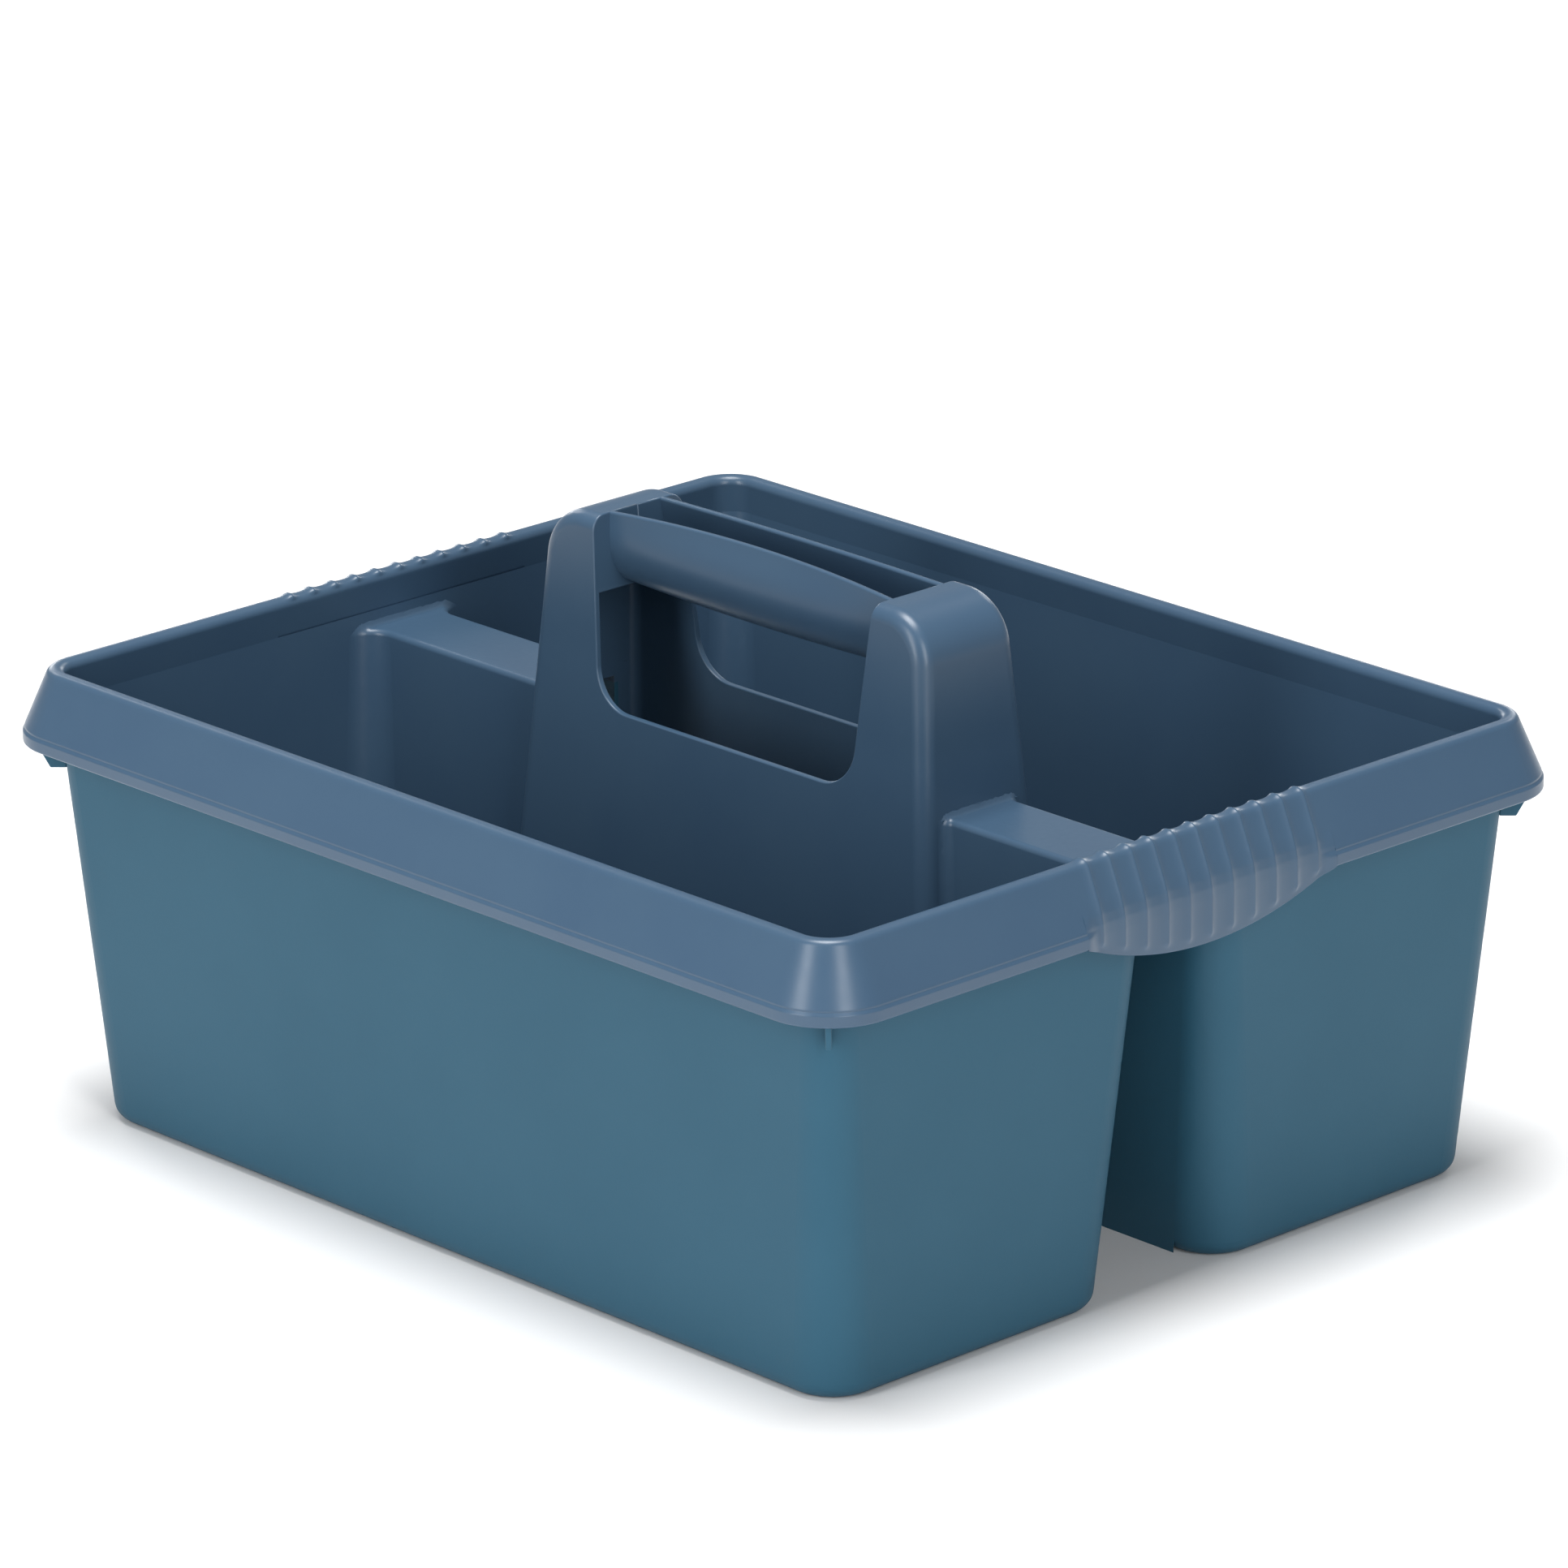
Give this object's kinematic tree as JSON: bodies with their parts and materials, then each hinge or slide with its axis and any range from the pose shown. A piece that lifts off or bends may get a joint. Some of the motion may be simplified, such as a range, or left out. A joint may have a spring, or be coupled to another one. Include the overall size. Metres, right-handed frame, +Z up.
{
  "type": "cleaning caddy",
  "caption": "Open-top cleaning caddy with drafted bins either side of a channel, a hollow carrying handle with a trough grip, and a rolled rim with ribbed side grips.",
  "frame": {"origin": "middle of the caddy on the plane it stands on", "axes": "+X along the long side, +Y from the front bin to the rear bin, +Z up"},
  "size_m": [0.4, 0.3364, 0.2096],
  "materials": {
    "moulded_polypropylene": "satin"
  },
  "bodies": {
    "root": {"corner_gussets": "moulded_polypropylene", "front_bin": "moulded_polypropylene", "front_handle_plate": "moulded_polypropylene", "front_rim": "moulded_polypropylene", "handle_trough": "moulded_polypropylene", "left_front_rim": "moulded_polypropylene", "left_front_rim_corner": "moulded_polypropylene", "left_grip": "moulded_polypropylene", "left_handle_post": "moulded_polypropylene", "left_rear_rim": "moulded_polypropylene", "left_rear_rim_corner": "moulded_polypropylene", "left_saddle": "moulded_polypropylene", "rear_bin": "moulded_polypropylene", "rear_handle_plate": "moulded_polypropylene", "rear_rim": "moulded_polypropylene", "right_front_rim": "moulded_polypropylene", "right_front_rim_corner": "moulded_polypropylene", "right_grip": "moulded_polypropylene", "right_handle_post": "moulded_polypropylene", "right_rear_rim": "moulded_polypropylene", "right_rear_rim_corner": "moulded_polypropylene", "right_saddle": "moulded_polypropylene"}
  },
  "joints": []
}
